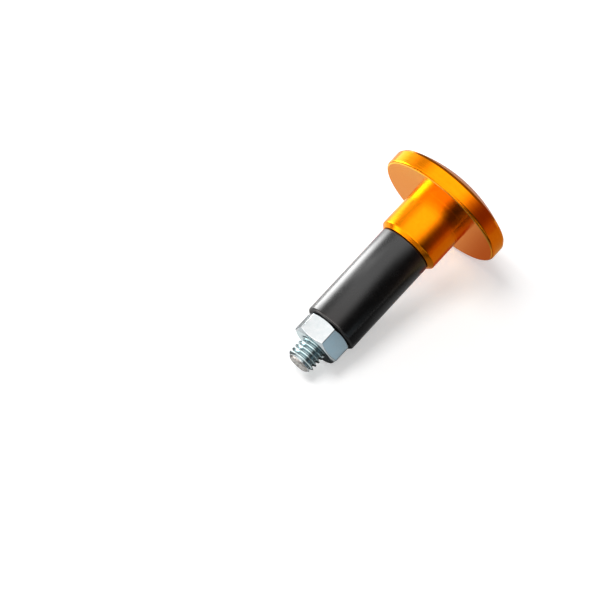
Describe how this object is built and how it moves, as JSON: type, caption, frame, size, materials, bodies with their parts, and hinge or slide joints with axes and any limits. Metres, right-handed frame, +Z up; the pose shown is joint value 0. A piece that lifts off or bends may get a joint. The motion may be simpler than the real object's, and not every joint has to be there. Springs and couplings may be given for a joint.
{
  "type": "bar end weight",
  "caption": "Bar end weight for a motorcycle handlebar: a domed cap with a collar, drawn against a rubber sleeve by a countersunk socket screw and a hexagon nut.",
  "frame": {"origin": "on the ground under the middle of the part's box, as it lies at rest", "axes": "+X along the part's length, towards the domed cap; +Z up from the ground"},
  "size_m": [0.0664, 0.038, 0.0378],
  "materials": {
    "anodised_cap": "bright orange anodised, finely turned",
    "zinc_screw": "bright zinc plated, with a bluish tint",
    "black_rubber": "smooth satin black",
    "zinc_nut": "bright zinc plated, with a bluish tint"
  },
  "bodies": {
    "root": {"end_cap": "anodised_cap", "socket_screw": "zinc_screw", "rubber_sleeve": "black_rubber", "hex_nut": "zinc_nut"}
  },
  "joints": []
}
